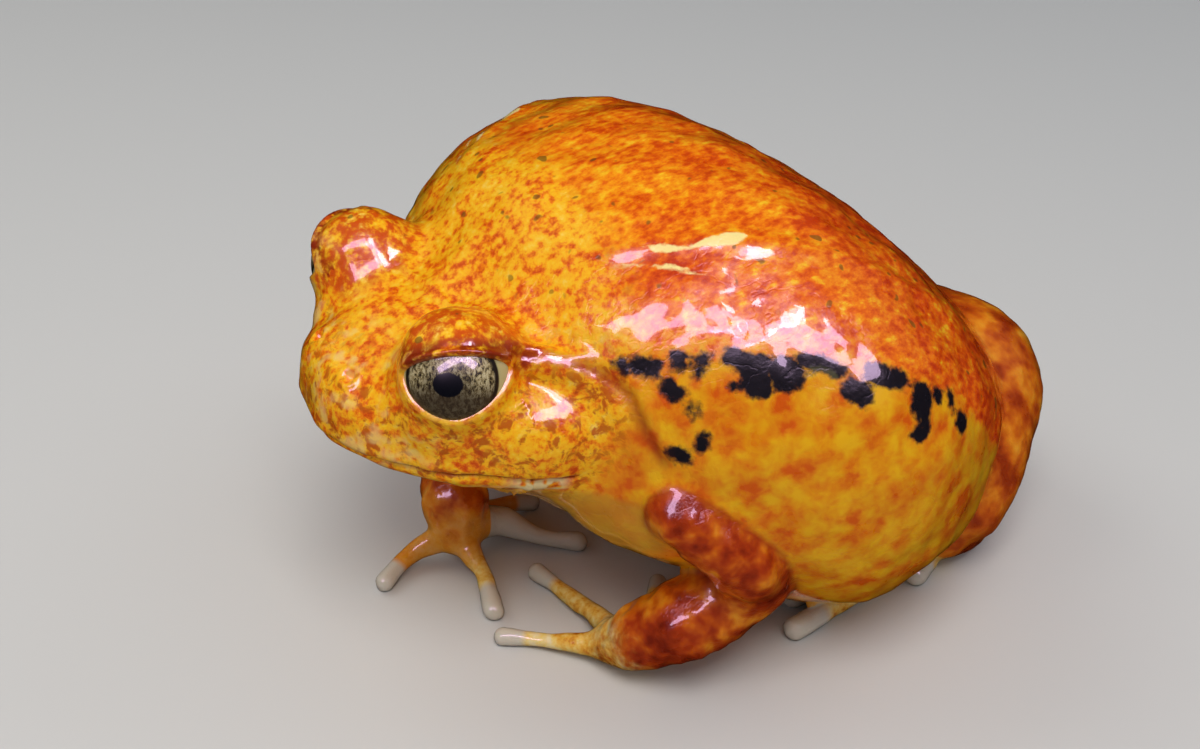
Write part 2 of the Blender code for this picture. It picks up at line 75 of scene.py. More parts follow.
# Limbs, each a row of x, y, z and radius from the root outwards.
limbs = {
    "armLeft": {
        "upper": [
            (28.7, -21, 25.7, 3.1), (30.8, -18.2, 22.9, 3.6),
            (32.1, -14.6, 19.2, 4), (30.2, -11.4, 15.4, 4.1),
        ],
        "fore": [
            (29.9, -11.1, 14.7, 4.1), (28.8, -13.9, 12, 4.4),
            (26.7, -18.5, 9.1, 4.35), (23.6, -20.8, 6.1, 3.6),
        ],
        "palm": [(23.6, -20.8, 6, 3.5), (21.5, -22.1, 4.3, 3.1), (19.7, -22.7, 3.2, 2.5)],
        "digits": [
            [(19.9, -23, 3, 1.9), (18, -24.4, 2.3, 1.4), (13.4, -28, 1.3, 0.95), (9.7, -31.5, 1, 1.15)],
            [(19.5, -22.2, 3, 1.9), (15.6, -21.2, 2.3, 1.4), (8.5, -21.3, 1.3, 0.95), (2, -21.9, 1, 1.15)],
            [(20.5, -21.2, 3, 1.9), (17.2, -15.8, 1.7, 1.05), (12, -10.8, 1, 1.15)],
            [(21.3, -20.6, 3.2, 1.9), (20.8, -13.8, 1.8, 1.05), (17.8, -8.8, 1, 1.15)],
        ],
    },
    "armRight": {
        "upper": [(-21, -19, 22, 5.4), (-25.5, -18.5, 18.5, 5.4), (-27, -18, 14.5, 5)],
        "fore": [
            (-26.5, -18.5, 13.2, 4.9), (-20, -22, 11.6, 4.8),
            (-13.2, -25.2, 10.2, 4.1), (-8.6, -27.1, 8.2, 3.6),
        ],
        "palm": [(-8.6, -27.1, 8.1, 3.5), (-7.4, -27.9, 5.8, 3.1), (-7.2, -27.6, 4.2, 2.6)],
        "digits": [
            [(-7.6, -28.2, 4.2, 2.2), (-8.3, -30.2, 3.2, 1.6), (-9, -33.8, 1.8, 1.2), (-7.1, -38.3, 1, 1.3)],
            [(-6.6, -27.8, 4.2, 2.2), (-4.8, -27.8, 3.2, 1.6), (-0.6, -28.1, 1.8, 1.2), (5.1, -30, 1, 1.25)],
            [(-7.2, -26, 4.4, 2.3), (-6.9, -22, 3.4, 1.8), (-3.4, -18.7, 1.9, 1.2), (-0.4, -14.5, 1.1, 1.25)],
            [(-8, -26.4, 4.4, 2.2), (-11.4, -20.8, 2.4, 1.2), (-11, -14.8, 1.1, 1.25)],
        ],
    },
    "leg": {
        "thigh": [
            (9, 34, 17.4, 9.2), (17.7, 33.3, 18.5, 9.2), (24.1, 28, 14.4, 7.8), (27.4, 23.4, 9.4, 6.2),
        ],
        "shank": [
            (27.6, 21.2, 5.7, 4.2), (26.8, 25.6, 4.4, 3.9), (22.6, 32.4, 3.6, 3.4), (17.6, 36.4, 3.3, 3.2),
        ],
        "sole": [(17.2, 36.2, 3.2, 3.1), (19.7, 30.4, 2.9, 2.9), (22.5, 24, 2.5, 2.9)],
        "digits": [
            [(21.3, 24.8, 2.2, 2), (19.5, 19, 1.5, 1.15), (16.8, 14, 1.05, 1.2)],
            [(22, 24, 2.3, 2.1), (21, 14, 1.6, 1.25), (19.4, 6.5, 1.1, 1.25)],
            [(22.8, 23.5, 2.3, 2.2), (24.2, 12, 1.6, 1.3), (23.6, 1, 1.15, 1.3)],
            [(23.6, 24, 2.3, 2.2), (27, 10, 1.6, 1.35), (28.2, -2.7, 1.2, 1.35)],
            [(23.2, 25.2, 2.3, 2.1), (26.6, 22.2, 1.6, 1.35), (29, 16.2, 1.15, 1.3)],
        ],
    },
    # How widely the limbs melt into the body, an arm by rootBlend more near its root.
    "crease": 0.5,
    "rootBlend": 2.0,
    "rootReach": 7,
    "legBlend": 1.6,
    "blends": {"elbow": 2, "wrist": 2, "finger": 1.2, "knee": 1, "ankle": 1, "toe": 1},
}
bothArms = (limbs["armLeft"], limbs["armRight"])

# The eye, in the head's own frame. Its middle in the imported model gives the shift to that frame.
eye = {
    "centre": (13, -35.4, 40),
    "axis": (0.80, -0.46, 0.38),
    "radius": 5.75,
    "corneaRadius": 4.3,
    "corneaStep": 1.5,
    "leftBoxMiddle": (12.0805, -36.5042, 39.5402),
    "halfWidth": 5.5,
    "widest": (0.65, 0.08),
    "above": (2.1, 1.8),
    "below": (4.9, 1.7),
    # The lids' height on the eye, the skin's depth behind it, the corner and the edge with widths.
    "lidAbove": 0.95,
    "lidBelow": 0.4,
    "sink": 0.8,
    "corner": (6.6, 3.2),
    "edge": (0.95, 0.12),
    "gaze": (-0.5, -0.15),
    "pupil": (1.5, 1.2),
}

# Past this distance an eye has no effect.
farAway = 9

low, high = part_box("eye_left")
shift = (np.array(low) + np.array(high)) * 500 - np.array(eye["leftBoxMiddle"])


def runThrough(places, knots, values):
    # A cubic through the values at the knots, with numpy's gradient as its slopes.
    knots, values = np.asarray(knots, float), np.asarray(values, float)
    slope = np.gradient(values, knots)
    at = np.clip(np.searchsorted(knots, places) - 1, 0, len(knots) - 2)
    step = knots[at + 1] - knots[at]
    t = (places - knots[at]) / step
    ends = (2 * t**3 - 3 * t**2 + 1) * values[at] + (3 * t**2 - 2 * t**3) * values[at + 1]
    return ends + step * ((t**3 - 2 * t**2 + t) * slope[at] + (t**3 - t**2) * slope[at + 1])


def smoothStep(t):
    # Three t squared less two t cubed, with t held from 0 to 1.
    t = np.clip(t, 0, 1)
    return t * t * (3 - 2 * t)


def bump(distance, width):
    # One at the middle, falling as the bell curve e^-(distance / width) squared.
    return np.exp(-((distance / width) ** 2))


def mirrored(rows, side):
    # The rows with x times the side, 1 or -1.
    return [(side * row[0], *row[1:]) for row in rows]


def turnAbout(yaw, roll):
    # A turn about y by the roll, then about z by the yaw, in degrees.
    spin = Matrix.Rotation(math.radians(yaw), 3, "Z") @ Matrix.Rotation(math.radians(roll), 3, "Y")
    return np.array(spin)


headTurn = turnAbout(form["headYaw"], form["headRoll"])
neck = np.array(form["neck"], float)


def toHead(points):
    # Into the head's own frame: turned back about the neck.
    return (points - neck) @ headTurn + neck


def fromHead(points):
    return (points - neck) @ headTurn.T + neck


def eyeFrame(side):
    # The eye's centre and its ways across, up and out, as columns, after the head's turn.
    x, y, z = eye["axis"]
    out = np.array((side * x, y, z)) / math.sqrt(x * x + y * y + z * z)
    across = np.cross((0, 0, 1), out)
    across /= np.linalg.norm(across)
    columns = np.stack([across, np.cross(out, across), out], 1)
    x, y, z = eye["centre"]
    return fromHead(np.array((side * x, y, z), float)), headTurn @ columns


def smoothRows(rows, steps=5):
    # The cubic through each column, at evenly spread places.
    rows = np.array(rows, float)
    places = np.linspace(0, len(rows) - 1, steps * len(rows))
    return np.stack([runThrough(places, np.arange(len(rows)), column) for column in rows.T], 1)


# Distances to the form. Below zero is inside.
def sectionSizes(places, sections, least):
    # Half width, rise and drop, each the root of a cubic through its squares, and the middle.
    y, wide, middle, rise, drop = np.array(sections, float).T
    sizes = [np.sqrt(np.clip(runThrough(places, y, size**2), least, None)) for size in (wide, rise, drop)]
    return *sizes, runThrough(places, y, middle)


def sectionDistance(points, sections, powers):
    # Along the ray from the section's middle: reach less reach over the superellipse level.
    at = np.clip(points[:, 1], sections[0][0] + 0.02, sections[-1][0] - 0.02)
    across, up, down, middle = sectionSizes(at, sections, 1e-4)
    lift = points[:, 2] - middle
    power = np.where(lift > 0, *powers)
    parts = (abs(points[:, 0]) / across) ** power + (abs(lift) / np.where(lift > 0, up, down)) ** power
    reach = np.hypot(points[:, 0], lift) + 1e-6
    return reach - reach / np.maximum(parts ** (1 / power), 1e-6)


def loftDistance(points, sections, powers):
    # Distance to the section over the length of (1, its slope), and past the ends a hypotenuse.
    here = sectionDistance(points, sections, powers)
    ahead = sectionDistance(points + (0, 0.05, 0), sections, powers)
    near = here / np.sqrt(1 + ((ahead - here) / 0.05) ** 2)
    past = abs(points[:, 1] - np.clip(points[:, 1], sections[0][0], sections[-1][0]))
    return np.where(past > 0, np.hypot(np.maximum(near, 0), past), near)


def ballDistance(points, centre, radii):
    # The ellipsoid's level times (level less one), over the length of its slope.
    spot = (points - centre) / radii
    level = np.linalg.norm(spot, axis=1)
    return level * (level - 1) / np.maximum(np.linalg.norm(spot / radii, axis=1), 1e-6)


def tubeDistance(points, rows, reach=5.0):
    # The least distance to the pieces between the rows, less the radius there.
    rows = smoothRows(rows)
    found = np.full(len(points), 99.0)
    edge = rows[:, 3].max() + reach
    near = ((points > rows[:, :3].min(0) - edge) & (points < rows[:, :3].max(0) + edge)).all(1)
    some = points[near]
    best = np.full(len(some), 99.0)
    for start, end in zip(rows[:-1], rows[1:]):
        way = end[:3] - start[:3]
        t = np.clip((some - start[:3]) @ way / (way @ way), 0, 1)
        away = some - start[:3] - t[:, None] * way
        gap = np.sqrt(np.einsum("ij,ij->i", away, away))
        best = np.minimum(best, gap - start[3] - t * (end[3] - start[3]))
    found[near] = best
    return found


def blendMin(a, b, width):
    # The smaller, less (width less their difference) squared over four widths.
    return np.minimum(a, b) - np.clip(width - abs(a - b), 0, None) ** 2 / (4 * width)


def digitsDistance(points, first, digits, width):
    # The palm or sole and its digits, melted together.
    found = tubeDistance(points, first)
    for rows in digits:
        found = blendMin(found, tubeDistance(points, rows), width)
    return found


def bodyDistance(points):
    # The trunk with head, mounds, folds, shoulders, hips and cheeks melted in.
    local = toHead(points)
    blends = form["blends"]
    found = loftDistance(points, form["trunk"], form["trunkPowers"])
    found = blendMin(found, loftDistance(local, form["head"], form["headPowers"]), blends["head"])
    for side in (1, -1):
        centre, turn = eyeFrame(side)
        mound = ballDistance((points - centre) @ turn, 0, form["moundRadii"])
        found = blendMin(found, mound, blends["mound"])
        fold = tubeDistance(points, mirrored(form["earFold"], side))
        found = blendMin(found, fold, blends["earFold"])
        for (x, y, z), radii in (form["shoulder"], form["hip"]):
            found = blendMin(found, ballDistance(points, (side * x, y, z), radii), blends["joint"])
        (x, y, z), radii = form["cheek"]
        found = blendMin(found, ballDistance(local, (side * x, y, z), radii), blends["cheek"])
    return found


def armDistance(points, arm):
    # Upper arm, forearm and hand, melted together.
    blends = limbs["blends"]
    upper, fore = tubeDistance(points, arm["upper"]), tubeDistance(points, arm["fore"])
    hand = digitsDistance(points, arm["palm"], arm["digits"], blends["finger"])
    return blendMin(blendMin(upper, fore, blends["elbow"]), hand, blends["wrist"])


def footDistance(points, side):
    # The sole and the toes, melted together.
    leg = limbs["leg"]
    digits = [mirrored(rows, side) for rows in leg["digits"]]
    return digitsDistance(points, mirrored(leg["sole"], side), digits, limbs["blends"]["toe"])


def legDistance(points, side):
    # Thigh, shank and foot, melted together.
    leg, blends = limbs["leg"], limbs["blends"]
    thigh = tubeDistance(points, mirrored(leg["thigh"], side))
    shank = tubeDistance(points, mirrored(leg["shank"], side))
    return blendMin(blendMin(thigh, shank, blends["knee"]), footDistance(points, side), blends["ankle"])


def skinDistance(points):
    # The body with its limbs melted in, cut off below the floor.
    found = bodyDistance(points)
    for arm in bothArms:
        root = np.array(arm["upper"][0][:3])
        fromRoot = np.linalg.norm(points - root, axis=1)
        width = limbs["crease"] + limbs["rootBlend"] * bump(fromRoot, limbs["rootReach"])
        found = blendMin(found, armDistance(points, arm), width)
    for side in (1, -1):
        found = blendMin(found, legDistance(points, side), limbs["legBlend"])
    return np.maximum(found, -points[:, 2])


# First surface: closed grids of points, joined and remeshed into one skin.
def closedGrid(points):
    # Quads between each ring and the next, closed round.
    rings, around, _ = points.shape
    index = np.arange(rings * around).reshape(rings, around)
    here, ahead = index[:-1], index[1:]
    quads = np.stack([here, np.roll(here, -1, 1), np.roll(ahead, -1, 1), ahead], -1).reshape(-1, 4)
    return points.reshape(-1, 3), quads


def loftGrid(sections, powers, rings=60, around=72):
    # Rings, each a superellipse: sine and cosine to the power 2 / power.
    front, back = sections[0][0], sections[-1][0]
    along = front + (back - front) * (1 - np.cos(np.linspace(0, math.pi, rings))) / 2
    across, up, down, middle = sectionSizes(along, sections, 0)
    turn = np.linspace(0, 2 * math.pi, around, endpoint=False)
    power = np.where(np.sin(turn) > 0, *powers)
    x = np.sign(np.cos(turn)) * abs(np.cos(turn)) ** (2 / power)
    z = np.sign(np.sin(turn)) * abs(np.sin(turn)) ** (2 / power)
    points = np.empty((rings, around, 3))
    points[..., 0] = across[:, None] * x
    points[..., 1] = along[:, None]
    points[..., 2] = middle[:, None] + np.where(z > 0, up[:, None], down[:, None]) * z
    return closedGrid(points)


def tubeGrid(rows, around=20, ends=6):
    # Rings square to the line, and half a ball of rings on either end.
    rows = smoothRows(rows)
    centre, radius = rows[:, :3], rows[:, 3]
    ahead = np.gradient(centre, axis=0)
    ahead /= np.linalg.norm(ahead, axis=1, keepdims=True)
    angle = np.linspace(0, math.pi / 2, ends, endpoint=False)
    first = centre[0] - ahead[0] * radius[0] * np.cos(angle)[:, None]
    last = centre[-1] + ahead[-1] * radius[-1] * np.cos(angle[::-1])[:, None]
    sizes = np.concatenate([radius[0] * np.sin(angle), radius, radius[-1] * np.sin(angle[::-1])])
    ways = np.concatenate([np.repeat(ahead[:1], ends, 0), ahead, np.repeat(ahead[-1:], ends, 0)])
    side = np.cross(ways, (0.31, 0.17, 0.93))
    side /= np.linalg.norm(side, axis=1, keepdims=True)
    upward = np.cross(side, ways)
    turn = np.linspace(0, 2 * math.pi, around, endpoint=False)[:, None, None]
    ring = np.cos(turn) * side + np.sin(turn) * upward
    spine = np.concatenate([first, centre, last])
    return closedGrid(np.swapaxes(spine + ring * sizes[:, None], 0, 1))


def ballGrid(centre, radii, turn=np.eye(3), rings=24, around=32):
    # Latitude and longitude, times the radii, turned, about the centre.
    down = np.linspace(0, math.pi, rings)[:, None]
    turned = np.linspace(0, 2 * math.pi, around, endpoint=False)
    x, y = np.sin(down) * np.cos(turned), np.sin(down) * np.sin(turned)
    unit = np.stack([x, y, np.cos(down) + 0 * turned], -1)
    return closedGrid(unit * radii @ turn.T + centre)


def joined(grids):
    starts = np.cumsum([0] + [len(points) for points, _ in grids])
    faces = [quads + start for (_, quads), start in zip(grids, starts)]
    return np.concatenate([points for points, _ in grids]), np.concatenate(faces)


def meshOf(name, points, faces):
    mesh = bpy.data.meshes.new(name)
    mesh.from_pydata(points.tolist(), [], faces.tolist())
    return mesh


def addObject(name, data):
    made = bpy.data.objects.new(name, data)
    bpy.context.scene.collection.objects.link(made)
    return made


def pointsOf(mesh):
    flat = np.empty(len(mesh.vertices) * 3)
    mesh.vertices.foreach_get("co", flat)
    return flat.reshape(-1, 3)


def edgesOf(mesh):
    flat = np.empty(len(mesh.edges) * 2, int)
    mesh.edges.foreach_get("vertices", flat)
    return flat.reshape(-1, 2)


def firstSkin():
    # Every section, ball and tube as a closed grid, remeshed into one.
    skull, quads = loftGrid(form["head"], form["headPowers"])
    grids = [loftGrid(form["trunk"], form["trunkPowers"]), (fromHead(skull), quads)]
    for side in (1, -1):
        centre, turn = eyeFrame(side)
        grids.append(ballGrid(centre, np.array(form["moundRadii"]), turn))
        grids.append(tubeGrid(mirrored(form["earFold"], side)))
        for (x, y, z), radii in (form["shoulder"], form["hip"]):
            grids.append(ballGrid(np.array((side * x, y, z)), np.array(radii)))
        leg = limbs["leg"]
        for rows in (leg["thigh"], leg["shank"], leg["sole"], *leg["digits"]):
            grids.append(tubeGrid(mirrored(rows, side)))
    for arm in bothArms:
        grids += [tubeGrid(rows) for rows in (arm["upper"], arm["fore"], arm["palm"], *arm["digits"])]
    made = addObject("frogSkin", meshOf("frogSkin", *joined(grids)))
    melt = made.modifiers.new("melt", "REMESH")
    melt.mode = "VOXEL"
    melt.voxel_size = form["voxel"]
    graph = bpy.context.evaluated_depsgraph_get()
    made.data = bpy.data.meshes.new_from_object(made.evaluated_get(graph))
    made.modifiers.clear()
    return made


def eased(points, edges, share=0.5):
    # Each point moves the share of the way to the mean of its neighbours.
    both = np.concatenate([edges, edges[:, ::-1]])
    count = np.bincount(both[:, 0], minlength=len(points))[:, None]
    total = np.stack([np.bincount(both[:, 0], points[both[:, 1], k], len(points)) for k in range(3)], 1)
    return points + share * (total / np.maximum(count, 1) - points)


def outwards(points):
    # The slope of the distance along x, y and z, by small steps.
    here = skinDistance(points)
    slope = np.stack([skinDistance(points + 0.02 * step) - here for step in np.eye(3)], 1) / 0.02
    return here, slope


def settled(points, edges, rounds, share):
    # Eased, then moved by distance times slope over the slope squared.
    for _ in range(rounds):
        points = eased(points, edges, share)
        here, slope = outwards(points)
        size = np.maximum((slope**2).sum(1), 0.2)
        points = points - slope * np.clip(here / size, -0.8, 0.8)[:, None]
    return points


def refine(mesh, chosen):
    work = bmesh.new()
    work.from_mesh(mesh)
    edges = [edge for edge in work.edges if chosen[edge.verts[0].index] and chosen[edge.verts[1].index]]
    bmesh.ops.subdivide_edges(work, edges=edges, cuts=1, use_grid_fill=True)
    work.to_mesh(mesh)
    work.free()


def setPoints(mesh, points):
    mesh.vertices.foreach_set("co", points.ravel())
    mesh.update()


def opening(points, side):
    # One at the edge of the lids' opening: a superellipse, flatter above its widest line.
    centre, turn = eyeFrame(side)
    across, up, out = ((points - centre) @ turn).T
    line = eye["widest"][0] + eye["widest"][1] * across * side
    tall, power = (np.where(up > line, above, below) for above, below in zip(eye["above"], eye["below"]))
    level = ((abs(across) / eye["halfWidth"]) ** power + (abs(up - line) / tall) ** power) ** (1 / power)
    return np.where(out > 0, level, farAway), np.sqrt(across**2 + up**2 + out**2)


def nearEye(points):
    # The lesser of both openings' levels.
    levels = []
    for side in (1, -1):
        level, reach = opening(points, side)
        levels.append(np.where(reach < farAway, level, farAway))
    return np.minimum(*levels)


def aboveEye(points):
    # Height above the near eye's middle, and the distance to it.
    found, least = np.full(len(points), -9.0), np.full(len(points), 99.0)
    for side in (1, -1):
        centre, turn = eyeFrame(side)
        local = (points - centre) @ turn
        reach = np.linalg.norm(local, axis=1)
        found = np.where(reach < farAway, local[:, 1], found)
        least = np.minimum(least, reach)
    return found, least


mouth = {
    "front": (-47, 29.8),
    "back": (-26.5, 30.4),
    "sag": 0.9,
    # Depth and width of the groove. The lips' heights, places above it and widths.
    "groove": (0.5, 0.26),
    "lips": ((0.2, 1.0, 0.7), (0.14, -0.95, 0.6)),
}


def mouthHeight(points):
    # Height above the line of the mouth, and how much of the mouth is there.
    local = toHead(points)
    (frontY, frontZ), (backY, backZ) = mouth["front"], mouth["back"]
    rise = (local[:, 1] - frontY) / (backY - frontY)
    share = smoothStep((backY + 1.0 - local[:, 1]) / 3)
    outside = smoothStep((loftDistance(local, form["head"], form["headPowers"]) + 1.5) / 0.8)
    sag = mouth["sag"] * smoothStep((rise - 0.55) / 0.45)
    return local[:, 2] - frontZ - rise * (backZ - frontZ) + sag, share * outside


def lidded(points, side):
    # Inside the opening the skin drops behind the eye, at its edge it is a rim on it.
    level, reach = opening(points, side)
    centre, turn = eyeFrame(side)
    local = (points - centre) @ turn
    way = local / reach[:, None]
    ball = eyeReach(way)
    upper = smoothStep((local[:, 1] + 1.0) / 2.4)
    # The overhang runs out towards both corners of the eye.
    corner, fade = eye["corner"]
    upper = upper * smoothStep((corner - abs(local[:, 0])) / fade)
    rim = ball + eye["lidBelow"] + (eye["lidAbove"] - eye["lidBelow"]) * upper
    start, width = eye["edge"]
    wall = ball - eye["sink"] + (rim - ball + eye["sink"]) * smoothStep((level - start) / width)
    blend = smoothStep((level - 1.1) / (0.3 + 0.25 * (1 - upper)))
    target = wall * (1 - blend) + reach * blend
    moved = centre + (way * target[:, None]) @ turn.T
    here = (level < 1.7) & (reach < farAway)
    return np.where(here[:, None], moved, points)


def eyeReach(way):
    # From the eye's centre to its ball or cornea, the farther, along a unit way.
    step, small = eye["corneaStep"], eye["corneaRadius"]
    out = way[:, 2]
    under = np.clip(small**2 - step**2 * (1 - out**2), 0, None)
    cornea = np.where(out > 0, step * out + np.sqrt(under), 0)
    return -blendMin(-eye["radius"] + 0 * out, -cornea, 0.3)


def nearLine(points, rows):
    # Distance to a bent line, and how far along it that is, from 0 to 1.
    rows = np.array(rows, float)
    best, along = np.full(len(points), 99.0), np.zeros(len(points))
    for k, (start, end) in enumerate(zip(rows[:-1], rows[1:])):
        way = end - start
        t = np.clip((points - start) @ way / (way @ way), 0, 1)
        gap = np.linalg.norm(points - start - t[:, None] * way, axis=1)
        along = np.where(gap < best, (k + t) / (len(rows) - 1), along)
        best = np.minimum(best, gap)
    return best, along


# Pairs are a height or depth and the width of its bell curve.
relief = {
    "nostril": (4.5, -44.0, 37.4),
    "nostrilRadius": 1.0,
    "nostrilRim": (0.22, 0.5),
    "nostrilHole": (0.75, 0.55),
    "earLine": [
        (14.6, -32.6, 42.3), (15.9, -31.9, 42.3), (17, -29.9, 41.8), (18.7, -27.5, 41), (20.6, -25.2, 40.1),
        (21.8, -24.5, 39.5), (23.7, -23.7, 38.2), (24.8, -23.4, 36.5), (26.1, -23.1, 34.2), (27.4, -22.3, 32),
    ],
    "earGroove": (0.5, 0.6),
    "earRidge": (0.35, 0.9),
    "earRidgeShift": (0.5, 0.4, 1.1),
    "ridge": [
        (15, -19, 49.6), (21.5, -8.7, 50.5), (25.2, -3.8, 49.6), (28.3, 1.7, 47.2), (29.9, 9.4, 42.5),
        (27, 18, 35),
    ],
    "ridgeSize": (0.45, 1.3),
    # Heights and wave lengths.
    "ripples": (0.14, 9),
    "fineRipples": (0.05, 3.2),
    "armWrinkles": (0.14, 2.6),
}


def waves(points, seed, size, count=14):
    # A sum of sine waves in random directions, about size millimetres long.
    rng = np.random.default_rng(seed)
    ways = rng.normal(size=(count, 3))
    ways *= (2 * math.pi / size * rng.uniform(0.7, 1.4, count) / np.linalg.norm(ways, axis=1))[:, None]
    return np.sin(points @ ways.T + rng.uniform(0, 2 * math.pi, count)).sum(1) / math.sqrt(count)


def raised(size, distance):
    tall, width = size
    return tall * bump(distance, width)


def heights(points):
    # Waves, and bell curves about the named lines and places.
    (tall, long), (small, short) = relief["ripples"], relief["fineRipples"]
    found = tall * waves(points, 3, long) + small * waves(points, 5, short)
    height, share = mouthHeight(points)
    lips = sum(raised((tall, width), height - place) for tall, place, width in mouth["lips"])
    found += share * (lips - raised(mouth["groove"], height))
    x, y, z = relief["nostril"]
    local = toHead(points)
    for side in (1, -1):
        away = np.linalg.norm(local - (side * x, y, z), axis=1)
        found += raised(relief["nostrilRim"], away - relief["nostrilRadius"])
        found -= raised(relief["nostrilHole"], away)
        found += raised(relief["ridgeSize"], nearLine(points, mirrored(relief["ridge"], side))[0])
        earLine = mirrored(relief["earLine"], side)
        above = points - np.array(relief["earRidgeShift"]) * (side, 1, 1)
        found += raised(relief["earRidge"], nearLine(above, earLine)[0])
        found -= raised(relief["earGroove"], nearLine(points, earLine)[0])
    arms = np.minimum(*(armDistance(points, arm) for arm in bothArms))
    onArm = smoothStep((bodyDistance(points) - arms) / 2) * smoothStep((points[:, 2] - 4) / 3)
    tall, long = relief["armWrinkles"]
    found += tall * onArm * waves(points * (1, 1, 0.6), 11, long)
    # Nothing at the lids' edge and on the floor.
    return found * smoothStep((nearEye(points) - 1.1) / 0.5) * smoothStep(points[:, 2] / 0.6)


skin = firstSkin()
mesh = skin.data
setPoints(mesh, settled(pointsOf(mesh), edgesOf(mesh), 4, 0.5))
print("first skin:", len(mesh.vertices), "points")


def limbShare(points):
    # The least distance to the hands and feet.
    hands = [digitsDistance(points, arm["palm"], arm["digits"], 1) for arm in bothArms]
    return np.minimum.reduce(hands + [footDistance(points, side) for side in (1, -1)])


points = pointsOf(mesh)
headOnly = loftDistance(toHead(points), form["head"], form["headPowers"])
face = (headOnly < 1.6) & (toHead(points)[:, 1] < -20)
refine(mesh, face | (nearEye(points) < 3) | (limbShare(points) < 0.8))
setPoints(mesh, settled(pointsOf(mesh), edgesOf(mesh), 2, 0.4))
points = pointsOf(mesh)
height, share = mouthHeight(points)
nostrils = [np.array(mirrored([relief["nostril"]], side)) for side in (1, -1)]
nose = np.minimum(*(np.linalg.norm(toHead(points) - nostril, axis=1) for nostril in nostrils))
refine(mesh, (nearEye(points) < 1.5) | ((abs(height) < 1.0) & (share > 0.05)) | (nose < 2))
points = settled(pointsOf(mesh), edgesOf(mesh), 2, 0.4)
slope = outwards(points)[1]
facing = slope / np.linalg.norm(slope, axis=1, keepdims=True)
plain = points.copy()
points = points + facing * heights(points)[:, None]
for side in (1, -1):
    points = lidded(points, side)
setPoints(mesh, points)
triangles = sum(len(face.vertices) - 2 for face in mesh.polygons)
print("skin formed:", len(mesh.vertices), "points,", triangles, "triangles")

# Markings, from distances to named places. Spots are two ends and a radius, in millimetres.
marks = {
    "spots": [
        (21.8, -23, 40.8, 24.2, -21.1, 41, 0.79), (25.7, -19.2, 42, 25.9, -19.4, 41.5, 0.69),
        (27.4, -17.4, 42, 27.4, -18, 41.3, 0.69), (26, -20.4, 39.6, 26.6, -20.2, 39.1, 0.79),
        (29, -15.2, 42.4, 30.6, -13.5, 42.1, 0.78), (31, -14, 41.2, 31.7, -13.9, 40.2, 0.98),
        (32.6, -11.5, 41.2, 32.8, -11.2, 41.1, 1.37), (32.9, -9.5, 42.2, 34, -8.1, 41.8, 0.59),
        (34.8, -7, 41.3, 35, -6.7, 41.2, 0.49), (36.6, -5.9, 39.5, 37.3, -5, 38.9, 0.79),
        (36.5, -3.7, 40.5, 37.7, -1, 39.4, 0.7), (38.9, 1.3, 37.4, 39.5, 1, 36.4, 1.11),
        (40.3, 0.8, 34.3, 40.4, -0.1, 34.1, 0.5), (38.8, 3.8, 36.9, 39.2, 3.6, 36.3, 0.3),
        (38.9, 5.7, 35.8, 39.3, 5.6, 35.1, 0.31), (39.9, 6.6, 32.9, 39.9, 6.9, 32.6, 0.72),
        (28.3, -19.2, 38, 28.4, -19.2, 37.6, 0.59), (29.7, -19, 34.9, 29.7, -19.1, 34.4, 0.6),
        (27.7, -21.1, 33.3, 28.4, -20.6, 32.8, 0.8), (30.1, -16.1, 39.9, 30.3, -15.8, 39.9, 0.29),
    ],
    "greySpot": (34.2, -8.9, 41, 35, -7.9, 40.5, 0.9),
    # Where the back's colours end above the flank's: y and height.
    "sideLine": [
        (-34, 40), (-22, 42.4), (-14, 43.4), (-7, 42.3), (-2.4, 40.9), (1.3, 38.9), (5.5, 36.4),
        (9, 33), (14, 27), (22, 20), (36, 10), (48, 6),
    ],
    "streaks": [
        [(16.6, -17.2, 50.1, 0.1), (17.9, -15.7, 50, 0.5), (19.2, -14.2, 50, 0.2), (20, -12.4, 50.3, 0.4),
         (21.2, -9.6, 50.6, 0.8), (21.6, -8.2, 50.7, 0.3)],
        [(14.8, -21.1, 48.8, 0), (16.3, -20, 48.7, 0.3), (17.8, -18.3, 49, 0.15), (19.6, -16.4, 48.9, 0.35),
         (21.4, -14.9, 48.7, 0.3), (23.5, -12.6, 48.4, 0)],
    ],
    "spotGrowth": 0.3,
    "spotBlend": 0.4,
    "rightSpotShare": 0.92,
    # The right hand's third finger shows its pale side.
    "paleDigit": ("armRight", 2),
}


def spotDistance(points):
    # Distance to each spot's line, less its radius and growth, melted together.
    found = np.full(len(points), 9.0)
    for *ends, radius in marks["spots"]:
        for side, share in ((1, 1.0), (-1, marks["rightSpotShare"])):
            line = mirrored((ends[:3], ends[3:]), side)
            gap = nearLine(points, line)[0] - radius * share - marks["spotGrowth"]
            found = blendMin(found, gap, marks["spotBlend"])
    return found


def tipShare(points):
    # From 0 at the wrist to 1 at the tip of each digit, for points near a digit.
    share = np.zeros(len(points))
    every = limbs["armLeft"]["digits"] + limbs["armRight"]["digits"]
    for side in (1, -1):
        every = every + [mirrored(rows, side) for rows in limbs["leg"]["digits"]]
    name, number = marks["paleDigit"]
    for rows in every:
        least = 0.9 if rows is limbs[name]["digits"][number] else 0
        rows = np.array(smoothRows(rows))
        gap, along = nearLine(points, rows[:, :3])
        along = np.maximum(along, least * smoothStep((along - 0.03) / 0.12))
        share = np.maximum(share, along * smoothStep((3.0 - gap) / 0.8))
    for arm in bothArms:
        palm, fore = tubeDistance(points, arm["palm"]), tubeDistance(points, arm["fore"])
        share = np.maximum(share, 0.24 * smoothStep((fore - palm + 1.2) / 2.4) * (palm < 2))
    return share


